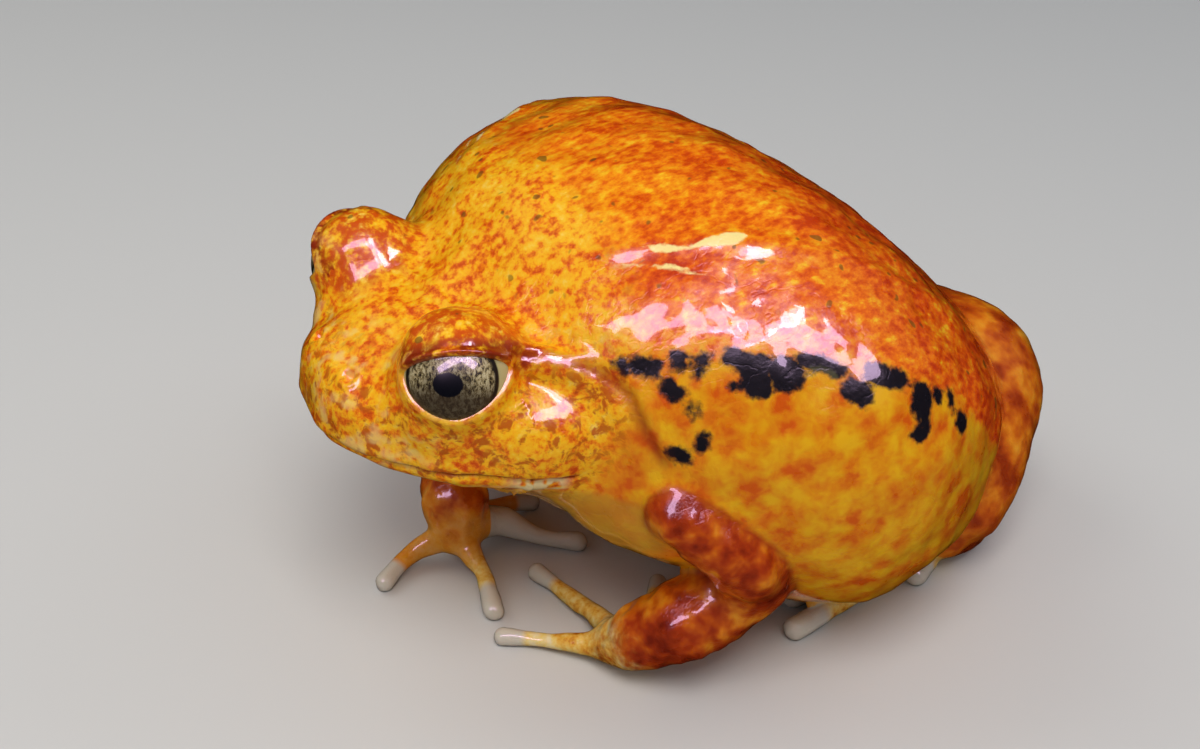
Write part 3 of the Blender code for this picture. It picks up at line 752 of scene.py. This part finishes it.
def attribute(mesh, name, *columns):
    data = mesh.attributes.new(name, "FLOAT_VECTOR", "POINT").data
    data.foreach_set("vector", np.stack(columns, 1).ravel().astype(np.float32))


def markSkin(mesh, points, facing):
    # Distances, and shares by smoothStep, that the material reads.
    local = toHead(points)
    side = np.clip(runThrough(points[:, 1], *np.array(marks["sideLine"]).T) - points[:, 2], -9, 9)
    armLeft, armRight = (armDistance(points, arm) for arm in bothArms)
    arms = np.minimum(armLeft, armRight)
    legs = np.minimum(*(legDistance(points, way) for way in (1, -1)))
    body = bodyDistance(points)
    limb = smoothStep((body - np.minimum(arms, legs)) / 0.4 + 0.5)
    head = smoothStep((-18 - local[:, 1] + 0.3 * (local[:, 2] - 36)) / 9) * (1 - limb)
    attribute(mesh, "zones", side, limb, head)
    height, share = mouthHeight(points)
    lid = nearEye(points)
    attribute(mesh, "lines", spotDistance(points), np.where(share > 0.3, height, 9), lid)
    throat = smoothStep((28.6 - local[:, 2]) / 2.5) * smoothStep((-19 - points[:, 1]) / 4) * (1 - limb)
    belly = smoothStep((20 - points[:, 2]) / 22) * (1 - limb)
    # Painted shade: the skin darkened in the creases where the limbs meet the body and in the groove under
    # the ear fold.
    creaseShade = np.maximum(bump(body - arms, 0.45), bump(body - legs, 0.45)) * smoothStep(points[:, 2] / 3)
    lines = [nearLine(points, mirrored(relief["earLine"], way))[0] for way in (1, -1)]
    creaseShade = np.maximum(creaseShade, bump(np.minimum(*lines), 0.75))
    attribute(mesh, "places", tipShare(points), np.maximum(belly * 0.6, throat), creaseShade)
    streaks = [mirrored(rows, way) for rows in marks["streaks"] for way in (1, -1)]
    streak = np.minimum.reduce([tubeDistance(points, rows) for rows in streaks])
    *ends, radius = marks["greySpot"]
    grey = nearLine(points, (ends[:3], ends[3:]))[0] - radius
    lift, reach = aboveEye(points)
    upper = smoothStep((lift - 0.3) / 1.2)
    attribute(mesh, "flecks", np.clip(streak, -3, 9), grey, upper)
    rump = smoothStep((points[:, 1] + 26) / 42)
    rump = np.maximum(rump, 0.85 * bump(side + 5, 3.8) * smoothStep((points[:, 1] + 26) / 8))
    farSide = smoothStep((-2 - points[:, 0]) / 12) * smoothStep((points[:, 1] + 30) / 10)
    rump = np.maximum(rump, 0.6 * farSide)
    inner = smoothStep(-facing[:, 0] * np.sign(points[:, 0]) / 0.6 - 0.2)
    warm = np.where(legs < arms, 0.5, np.where(armRight < armLeft, 1, inner))
    lip = smoothStep((local[:, 1] + 34) / 3) * smoothStep((-26.5 - local[:, 1]) / 2)
    attribute(mesh, "hues", rump, warm, lip)
    nose = 0.6 * smoothStep((-38 - local[:, 1]) / 4)
    mound = smoothStep((lift + 0.3) / 2.0) * smoothStep((8.6 - reach) / 1.6) * (1 - limb)
    attribute(mesh, "parts", nose, mound, smoothStep(-points[:, 0] / 4))


markSkin(mesh, plain, facing)


# Node helpers. A socket gets a link, a colour or a plain value.
class Shader:
    def __init__(self, name):
        self.material = bpy.data.materials.new(name)
        self.material.use_nodes = True
        self.tree = self.material.node_tree
        self.main = self.tree.nodes["Principled BSDF"]

    def add(self, kind, settings=None, **inputs):
        made = self.tree.nodes.new("ShaderNode" + kind)
        for key, value in (settings or {}).items():
            setattr(made, key, value)
        for key, value in inputs.items():
            self.put(made, key.replace("_", " "), value)
        return made

    def put(self, made, key, value):
        socket = made.inputs[key]
        if isinstance(value, bpy.types.NodeSocket):
            self.tree.links.new(value, socket)
        elif socket.type == "RGBA":
            socket.default_value = (*value, 1)
        else:
            socket.default_value = value

    def sum(self, operation, *values):
        made = self.add("Math", {"operation": operation})
        for index, value in enumerate(values):
            self.put(made, index, value)
        return made.outputs[0]

    def span(self, value, low, high):
        # Smoothly from 0 at low to 1 at high.
        smooth = {"interpolation_type": "SMOOTHSTEP"}
        return self.add("MapRange", smooth, Value=value, From_Min=low, From_Max=high).outputs[0]

    def mix(self, share, first, second):
        # The first colour at a share of 0, the second at 1.
        made = self.add("Mix", {"data_type": "RGBA"})
        for index, value in ((0, share), (6, first), (7, second)):
            self.put(made, index, value)
        return made.outputs[2]

    def noise(self, where, scale, detail=3.0, rough=0.5, twist=0.0):
        settings = {"Scale": scale, "Detail": detail, "Roughness": rough, "Distortion": twist}
        return self.add("TexNoise", Vector=where, **settings).outputs["Fac"]

    def ramp(self, value, stops):
        made = self.add("ValToRGB")
        self.put(made, 0, value)
        while len(made.color_ramp.elements) < len(stops):
            made.color_ramp.elements.new(1.0)
        for element, (place, *colour) in zip(made.color_ramp.elements, stops):
            element.position = place
            element.color = (*colour, 1)
        return made.outputs["Color"]

    def three(self, name):
        made = self.add("Attribute", {"attribute_name": name})
        return self.add("SeparateXYZ", Vector=made.outputs["Vector"]).outputs[:3]


# Colours are linear. Each list runs up the mottling: a place and the colour there.
skinLook = {
    "back": [
        (0.36, 0.72, 0.085, 0.001), (0.44, 0.88, 0.18, 0.001), (0.5, 0.94, 0.3, 0.002),
        (0.57, 0.97, 0.43, 0.005), (0.66, 0.98, 0.6, 0.02),
    ],
    "rump": [
        (0.36, 0.52, 0.028, 0.001), (0.45, 0.7, 0.065, 0.001), (0.52, 0.84, 0.12, 0.001),
        (0.59, 0.9, 0.22, 0.002), (0.66, 0.96, 0.48, 0.01),
    ],
    "flank": [
        (0.4, 0.68, 0.1, 0.001), (0.46, 0.76, 0.2, 0.001), (0.52, 0.8, 0.31, 0.001),
        (0.6, 0.84, 0.43, 0.003),
    ],
    "head": [
        (0.36, 0.66, 0.07, 0.001), (0.44, 0.88, 0.22, 0.002), (0.5, 0.96, 0.42, 0.004),
        (0.58, 0.98, 0.53, 0.01), (0.7, 0.97, 0.64, 0.1),
    ],
    "blotch": (0.48, 0.055, 0.001),
    "snout": (0.86, 0.58, 0.2),
    "mound": (0.64, 0.085, 0.001),
    "limb": [
        (0.38, 0.2, 0.012, 0.001), (0.47, 0.38, 0.034, 0.001), (0.54, 0.54, 0.085, 0.001),
        (0.61, 0.72, 0.2, 0.004), (0.7, 0.82, 0.36, 0.02),
    ],
    "warmLimb": [
        (0.38, 0.44, 0.05, 0.001), (0.47, 0.62, 0.115, 0.002), (0.56, 0.76, 0.22, 0.004),
        (0.68, 0.86, 0.38, 0.02),
    ],
    "digit": [
        (0.36, 0.58, 0.16, 0.01), (0.45, 0.8, 0.42, 0.05), (0.54, 0.88, 0.62, 0.17),
        (0.66, 0.86, 0.72, 0.42),
    ],
    "farDigit": (0.76, 0.25, 0.01),
    "tip": (0.62, 0.56, 0.46),
    "under": (0.56, 0.27, 0.02),
    "cream": (0.85, 0.66, 0.32),
    "streak": (0.98, 0.78, 0.3),
    "dark": (0.01, 0.008, 0.012),
    "grey": (0.07, 0.065, 0.03),
    "speck": (0.12, 0.07, 0.01),
    # Painted shade for the creases at the limbs' roots and under the ear fold.
    "fold": (0.38, 0.04, 0.001),
    # Partly the upper lid's own dark red-brown, partly painted shade under its overhang and along the mouth's
    # groove.
    "darkRedAndShade": (0.26, 0.022, 0.001),
    "lidLight": (0.8, 0.42, 0.04),
    # Painted shade in the gap between the lids and the eyeball.
    "lidGapShade": (0.03, 0.012, 0.004),
    "roughness": 0.3,
    "sockets": {
        "Specular IOR Level": 0.3, "Coat Weight": 0.85, "Coat Roughness": 0.06,
        "Subsurface Weight": 0.06, "Subsurface Radius": (1.0, 0.35, 0.12), "Subsurface Scale": 0.0012,
    },
    "bumpCoarse": 0.2,
    "bumpCracks": 0.2,
    "bumpFine": 0.3,
    # Noises: scale in turns per metre, detail, roughness and twist.
    "fine": (1150, 3, 0.6),
    "dots": (950, 3, 0.62),
    "broad": (75, 2, 0.5),
    "patch": (230, 3, 0.55, 0.2),
    "blots": (420, 2, 0.5),
    "flecks": (620, 3, 0.6, 0.4),
    "specks": (560, 1, 0.4),
    "edges": (1100, 3, 0.6),
    "cracks": (330, 3, 0.55),
    "lumps": (420, 4, 0.6),
    "grain": (1700, 3, 0.55),
}


def skinMaterial():
    # Back, flank, head and limbs, then streaks, lip, spots, and lids over them, with painted shade in the
    # folds, the mouth's groove and the gap at the lids.
    s, look = Shader("frogSkin"), skinLook
    where = s.add("TexCoord").outputs["Object"]
    long = s.add("Mapping", Vector=where, Scale=(1.0, 0.6, 0.9)).outputs[0]
    fine = s.noise(long, *look["fine"])
    names = ("dots", "broad", "patch", "blots", "flecks", "specks", "edges", "lumps", "grain")
    dots, broad, patch, blots, flecks, specks, edges, lumps, grain = (
        s.noise(where, *look[name]) for name in names
    )
    broad = s.sum("MULTIPLY", s.sum("SUBTRACT", broad, 0.5), 0.35)
    side, limb, head = s.three("zones")
    spot, lip, lid = s.three("lines")
    tip, pale, fold = s.three("places")
    streak, grey, upper = s.three("flecks")
    rump, warm, lipPart = s.three("hues")
    nose, mound, far = s.three("parts")

    def blendOf(a, b, share):
        # a times the share and b times the rest.
        return s.sum("ADD", s.sum("MULTIPLY", a, share), s.sum("MULTIPLY", b, 1 - share))

    def both(a, b):
        return s.sum("MULTIPLY", a, b)

    ragged = both(s.sum("SUBTRACT", blendOf(fine, patch, 0.5), 0.5), 6.0)
    backNoise = s.sum("ADD", blendOf(fine, patch, 0.68), broad)
    back = s.mix(rump, s.ramp(backNoise, look["back"]), s.ramp(backNoise, look["rump"]))
    flank = s.ramp(blendOf(blendOf(patch, blots, 0.6), flecks, 0.72), look["flank"])
    colour = s.mix(s.span(s.sum("ADD", side, ragged), -1.4, 1.4), back, flank)
    face = s.ramp(blendOf(dots, patch, 0.7), look["head"])
    cheeks = both(s.span(side, -3.0, 3.0), s.span(blendOf(flecks, dots, 0.75), 0.50, 0.60))
    face = s.mix(both(cheeks, 0.85), face, look["blotch"])
    face = s.mix(both(mound, s.span(blendOf(flecks, dots, 0.5), 0.62, 0.42)), face, look["mound"])
    face = s.mix(both(s.span(blendOf(patch, blots, 0.5), 0.50, 0.60), nose), face, look["snout"])
    colour = s.mix(s.span(s.sum("ADD", head, both(ragged, 0.12)), 0.15, 0.85), colour, face)
    under = both(s.span(s.sum("ADD", pale, both(ragged, 0.08)), 0.1, 0.9), 0.7)
    colour = s.mix(under, colour, look["under"])
    specks = both(s.span(specks, 0.70, 0.75), s.span(side, -2.0, -5.0))
    colour = s.mix(both(specks, 0.7), colour, look["speck"])
    limbNoise = blendOf(patch, blots, 0.55)
    limbColour = s.mix(warm, s.ramp(limbNoise, look["limb"]), s.ramp(limbNoise, look["warmLimb"]))
    colour = s.mix(limb, colour, limbColour)
    digit = s.ramp(blendOf(dots, patch, 0.5), look["digit"])
    digit = s.mix(both(far, 0.75), digit, look["farDigit"])
    toDigit = s.span(s.sum("ADD", tip, both(ragged, 0.08)), 0.06, 0.30)
    colour = s.mix(both(toDigit, limb), colour, digit)
    colour = s.mix(both(s.span(tip, 0.78, 0.86), limb), colour, look["tip"])
    rag = both(s.sum("SUBTRACT", edges, 0.5), 1.2)
    soft = both(s.sum("SUBTRACT", blots, 0.5), 1.4)
    colour = s.mix(s.span(s.sum("ADD", streak, both(rag, 0.5)), 0.13, -0.16), colour, look["streak"])
    lipBand = both(s.span(lip, -1.9, -1.5), s.span(lip, -0.05, -0.25))
    colour = s.mix(both(both(lipBand, lipPart), s.span(blots, 0.58, 0.50)), colour, look["cream"])
    black = s.span(s.sum("ADD", s.sum("ADD", spot, rag), soft), 0.42, -0.22)
    ink = s.mix(s.span(s.sum("ADD", grey, rag), 0.4, -0.2), look["dark"], look["grey"])
    colour = s.mix(black, colour, ink)
    # Painted shade: a dark line along the mouth's groove.
    colour = s.mix(both(s.span(s.sum("ABSOLUTE", lip), 0.22, 0.08), 0.85), colour, look["darkRedAndShade"])
    # Painted shade: the creases at the limbs' roots and under the ear fold darkened.
    colour = s.mix(both(fold, 0.85), colour, look["fold"])
    # Above the eye: partly the upper lid's own mottled dark red-brown, partly painted shade under the lid's
    # overhang.
    lidNoise = s.span(blendOf(dots, blots, 0.5), 0.62, 0.44)
    colour = s.mix(both(both(s.span(lid, 1.95, 1.25), upper), lidNoise), colour, look["darkRedAndShade"])
    lower = s.sum("SUBTRACT", 1.0, upper)
    colour = s.mix(both(both(s.span(lid, 1.12, 1.06), lower), 0.4), colour, look["lidLight"])
    # Painted shade: the skin sinking into the gap between lid and eyeball drawn near black.
    colour = s.mix(s.span(lid, 1.03, 0.98), colour, look["lidGapShade"])
    s.put(s.main, "Base Color", colour)
    s.put(s.main, "Roughness", s.sum("ADD", both(patch, 0.2), look["roughness"] - 0.1))
    for name, value in look["sockets"].items():
        s.main.inputs[name].default_value = value
    # Bumps: lumps, then cracks where a noise is near a half, then grain.
    crack = s.sum("ABSOLUTE", s.sum("SUBTRACT", s.noise(long, *look["cracks"]), 0.5))
    crack = s.span(crack, 0.0, 0.035)
    lumps = s.add("Bump", Height=lumps, Distance=0.0003)
    s.put(lumps, "Strength", s.sum("ADD", both(limb, 0.5), look["bumpCoarse"]))
    cracks = s.add("Bump", Height=crack, Strength=look["bumpCracks"], Distance=0.0001)
    s.put(cracks, "Normal", lumps.outputs[0])
    grains = s.add("Bump", Height=grain, Strength=look["bumpFine"], Distance=0.00012)
    s.put(grains, "Normal", cracks.outputs[0])
    s.put(s.main, "Normal", grains.outputs[0])
    return s.material


def finished(thing, material, slotName, *nodes):
    # The mesh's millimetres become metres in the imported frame.
    mesh = thing.data
    setPoints(mesh, (pointsOf(mesh) + shift) / 1000)
    mesh.polygons.foreach_set("use_smooth", np.ones(len(mesh.polygons), bool))
    mesh.materials.clear()
    mesh.materials.append(material)
    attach(thing, "root")
    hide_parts(*nodes)
    mesh.update()


flesh = [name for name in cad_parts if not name.startswith("eye_")]
finished(skin, skinMaterial(), "skin_body", *flesh)
print("skin finished: replaces", len(flesh), "nodes")


# Eyes: a ball with a steeper cornea. An attribute holds each point's place in the eye's frame.
eyeLook = {
    "pale": (0.58, 0.5, 0.3),
    "gold": (0.32, 0.23, 0.08),
    "dark": (0.012, 0.009, 0.007),
    "low": (0.045, 0.026, 0.012),
    "white": (0.5, 0.44, 0.2),
    "pupil": (0.002, 0.003, 0.007),
    "iris": 4.45,
    "speckle": (2.6, 6, 0.82, 0.4),
    "sockets": {"Roughness": 0.35, "Coat Weight": 1.0, "Coat Roughness": 0.02},
}


def eyeMaterial():
    # The pupil is an ellipse, the iris a circle: square roots of sums of squares.
    s, look = Shader("frogEye"), eyeLook
    place = s.add("Attribute", {"attribute_name": "place"}).outputs["Vector"]
    across, up = s.add("SeparateXYZ", Vector=place).outputs[:2]
    x = s.sum("SUBTRACT", across, eye["gaze"][0])
    y = s.sum("SUBTRACT", up, eye["gaze"][1])
    parts = [s.sum("DIVIDE", s.sum("ABSOLUTE", v), size) for v, size in zip((x, y), eye["pupil"])]
    parts = [s.sum("POWER", part, 2.0) for part in parts]
    level = s.sum("SQRT", s.sum("ADD", *parts))
    stretched = s.add("Mapping", Vector=place, Scale=(1.0, 0.5, 1.0)).outputs[0]
    speckle = s.noise(stretched, *look["speckle"])
    iris = s.ramp(speckle, [(0.45, *look["dark"]), (0.50, *look["gold"]), (0.56, *look["pale"])])
    iris = s.mix(s.sum("MULTIPLY", s.span(level, 2.3, 1.0), 0.55), iris, look["dark"])
    iris = s.mix(s.sum("MULTIPLY", s.span(up, 0.8, -2.0), 0.88), iris, look["low"])
    away = [s.sum("MULTIPLY", v, v) for v in (s.sum("ADD", across, 0.3), up)]
    edge = s.sum("SQRT", s.sum("ADD", *away))
    rim = look["iris"]
    iris = s.mix(s.span(edge, rim - 0.35, rim - 0.1), iris, look["dark"])
    iris = s.mix(s.span(edge, rim + 0.1, rim + 0.25), iris, look["white"])
    ragged = s.sum("ADD", level, s.sum("MULTIPLY", s.sum("SUBTRACT", speckle, 0.5), 0.35))
    colour = s.mix(s.span(ragged, 1.05, 0.97), iris, look["pupil"])
    s.put(s.main, "Base Color", colour)
    for name, value in look["sockets"].items():
        s.main.inputs[name].default_value = value
    return s.material


eyeSurface = eyeMaterial()
for name, side in (("Left", 1), ("Right", -1)):
    centre, turn = eyeFrame(side)
    unit, quads = ballGrid(np.zeros(3), np.ones(3), rings=90, around=96)
    local = unit * eyeReach(unit)[:, None]
    ball = addObject("eye" + name, meshOf("eye" + name, local @ turn.T + centre, quads[:, ::-1]))
    work = bmesh.new()
    work.from_mesh(ball.data)
    bmesh.ops.remove_doubles(work, verts=work.verts, dist=0.001)
    bmesh.ops.recalc_face_normals(work, faces=work.faces)
    work.to_mesh(ball.data)
    work.free()
    places = (pointsOf(ball.data) - centre) @ turn
    attribute(ball.data, "place", places[:, 0] * side, places[:, 1], places[:, 2])
    finished(ball, eyeSurface, "eye", "eye_" + name.lower())
print("eyes finished")

# Floor, light and camera.
stage = {
    "floor": (0.62, 0.62, 0.60),
    "floorRoughness": 0.7,
    "floorHalf": 2,
    "world": (0.80, 0.84, 0.92),
    "worldStrength": 0.40,
    # Lights: both ends in metres, width, power, colour, and whether they light or only shine.
    "lights": [
        ((0.189, -0.24, 0.4), (0.189, -0.02, 0.4), 0.22, 1.15, (1.0, 0.95, 0.9), True),
        ((-0.33, -0.41, 0.45), (-0.33, -0.01, 0.45), 0.4, 0.8, (1.0, 0.97, 0.92), True),
        ((-0.09, 0.48, 0.34), (0.31, 0.48, 0.34), 0.4, 0.5, (0.92, 0.95, 1.0), True),
        ((0.07, -0.387, 0.245), (0.172, -0.056, 0.36), 0.085, 1.05, (0.95, 0.66, 1.0), False),
        ((0.172, -0.056, 0.36), (0.305, 0.067, 0.252), 0.085, 0.66, (0.95, 0.66, 1.0), False),
        ((0.165, -0.01, 0.362), (0.19, 0.05, 0.355), 0.07, 0.3, (1.0, 0.88, 1.0), False),
    ],
}
camera = {
    "azimuth": 55.6,
    "elevation": 30.9,
    "distance": 0.1793,
    "target": (-4.0, -8.4, 22.0),
    "fieldOfView": 45.0,
}

half = stage["floorHalf"]
corners = np.array([(-half, -half, 0), (half, -half, 0), (half, half, 0), (-half, half, 0)], float)
floor = addObject("floor", meshOf("floor", corners, np.array([[0, 1, 2, 3]])))
ground = Shader("paleFloor")
ground.put(ground.main, "Base Color", stage["floor"])
ground.put(ground.main, "Roughness", stage["floorRoughness"])
floor.data.materials.append(ground.material)
floor.visible_glossy = False
scene = bpy.context.scene
for index, (first, last, width, power, colour, matt) in enumerate(stage["lights"]):
    first, last = np.array(first), np.array(last)
    length = np.linalg.norm(last - first)
    middle, along = (first + last) / 2, (last - first) / length
    lamp = bpy.data.lights.new("softLight" + str(index), "AREA")
    lamp.shape = "RECTANGLE"
    lamp.size, lamp.size_y = width, length
    lamp.energy = power
    lamp.color = colour
    holder = addObject(lamp.name, lamp)
    # It faces the frog: its z is the way out to it, less the part along it.
    out = middle - along * (middle @ along)
    out /= np.linalg.norm(out)
    holder.location = Vector(middle)
    holder.rotation_euler = Matrix(np.stack([np.cross(along, out), along, out], 1).tolist()).to_euler()
    holder.visible_glossy, holder.visible_diffuse = not matt, matt
world = bpy.data.worlds.new("sky")
world.use_nodes = True
sky = world.node_tree.nodes["Background"].inputs
sky["Color"].default_value = (*stage["world"], 1)
sky["Strength"].default_value = stage["worldStrength"]
scene.world = world
world.cycles_visibility.glossy = False

azimuth, elevation = math.radians(camera["azimuth"]), math.radians(camera["elevation"])
level = math.cos(elevation)
back = Vector((math.sin(azimuth) * level, -math.cos(azimuth) * level, math.sin(elevation)))
lens = bpy.data.cameras.new("camera")
# Half the sensor's 36 mm over the tangent of half the angle.
lens.lens = 18 / math.tan(math.radians(camera["fieldOfView"] / 2))
lens.clip_start, lens.clip_end = 0.005, 10
holder = addObject("camera", lens)
holder.location = Vector((np.array(camera["target"]) + shift) / 1000) + back * camera["distance"]
holder.rotation_mode = "QUATERNION"
holder.rotation_quaternion = (-back).to_track_quat("-Z", "Y")
scene.camera = holder
scene.view_settings.view_transform = "Standard"
